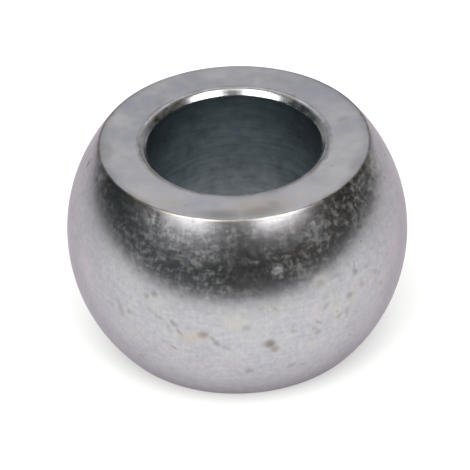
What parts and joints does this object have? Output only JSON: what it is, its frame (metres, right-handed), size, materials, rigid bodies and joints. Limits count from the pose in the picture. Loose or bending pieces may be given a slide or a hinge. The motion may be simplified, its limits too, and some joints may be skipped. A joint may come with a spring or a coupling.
{
  "type": "bored hitch ball",
  "caption": "Bored hitch ball: a zinc plated steel ball with flat ends and a plain through bore, which slips over a hitch pin and seats in a spherical socket or hook.",
  "frame": {"origin": "centre of the ball, halfway along the bore", "axes": "+Z along the bore, upwards as the ball stands on a flat end; X and Y are alike, because the ball is a body of revolution"},
  "size_m": [0.056, 0.056, 0.035],
  "materials": {
    "zinc_plated_steel": "satin zinc plating over turned steel"
  },
  "bodies": {
    "root": {"ball": "zinc_plated_steel"}
  },
  "joints": []
}
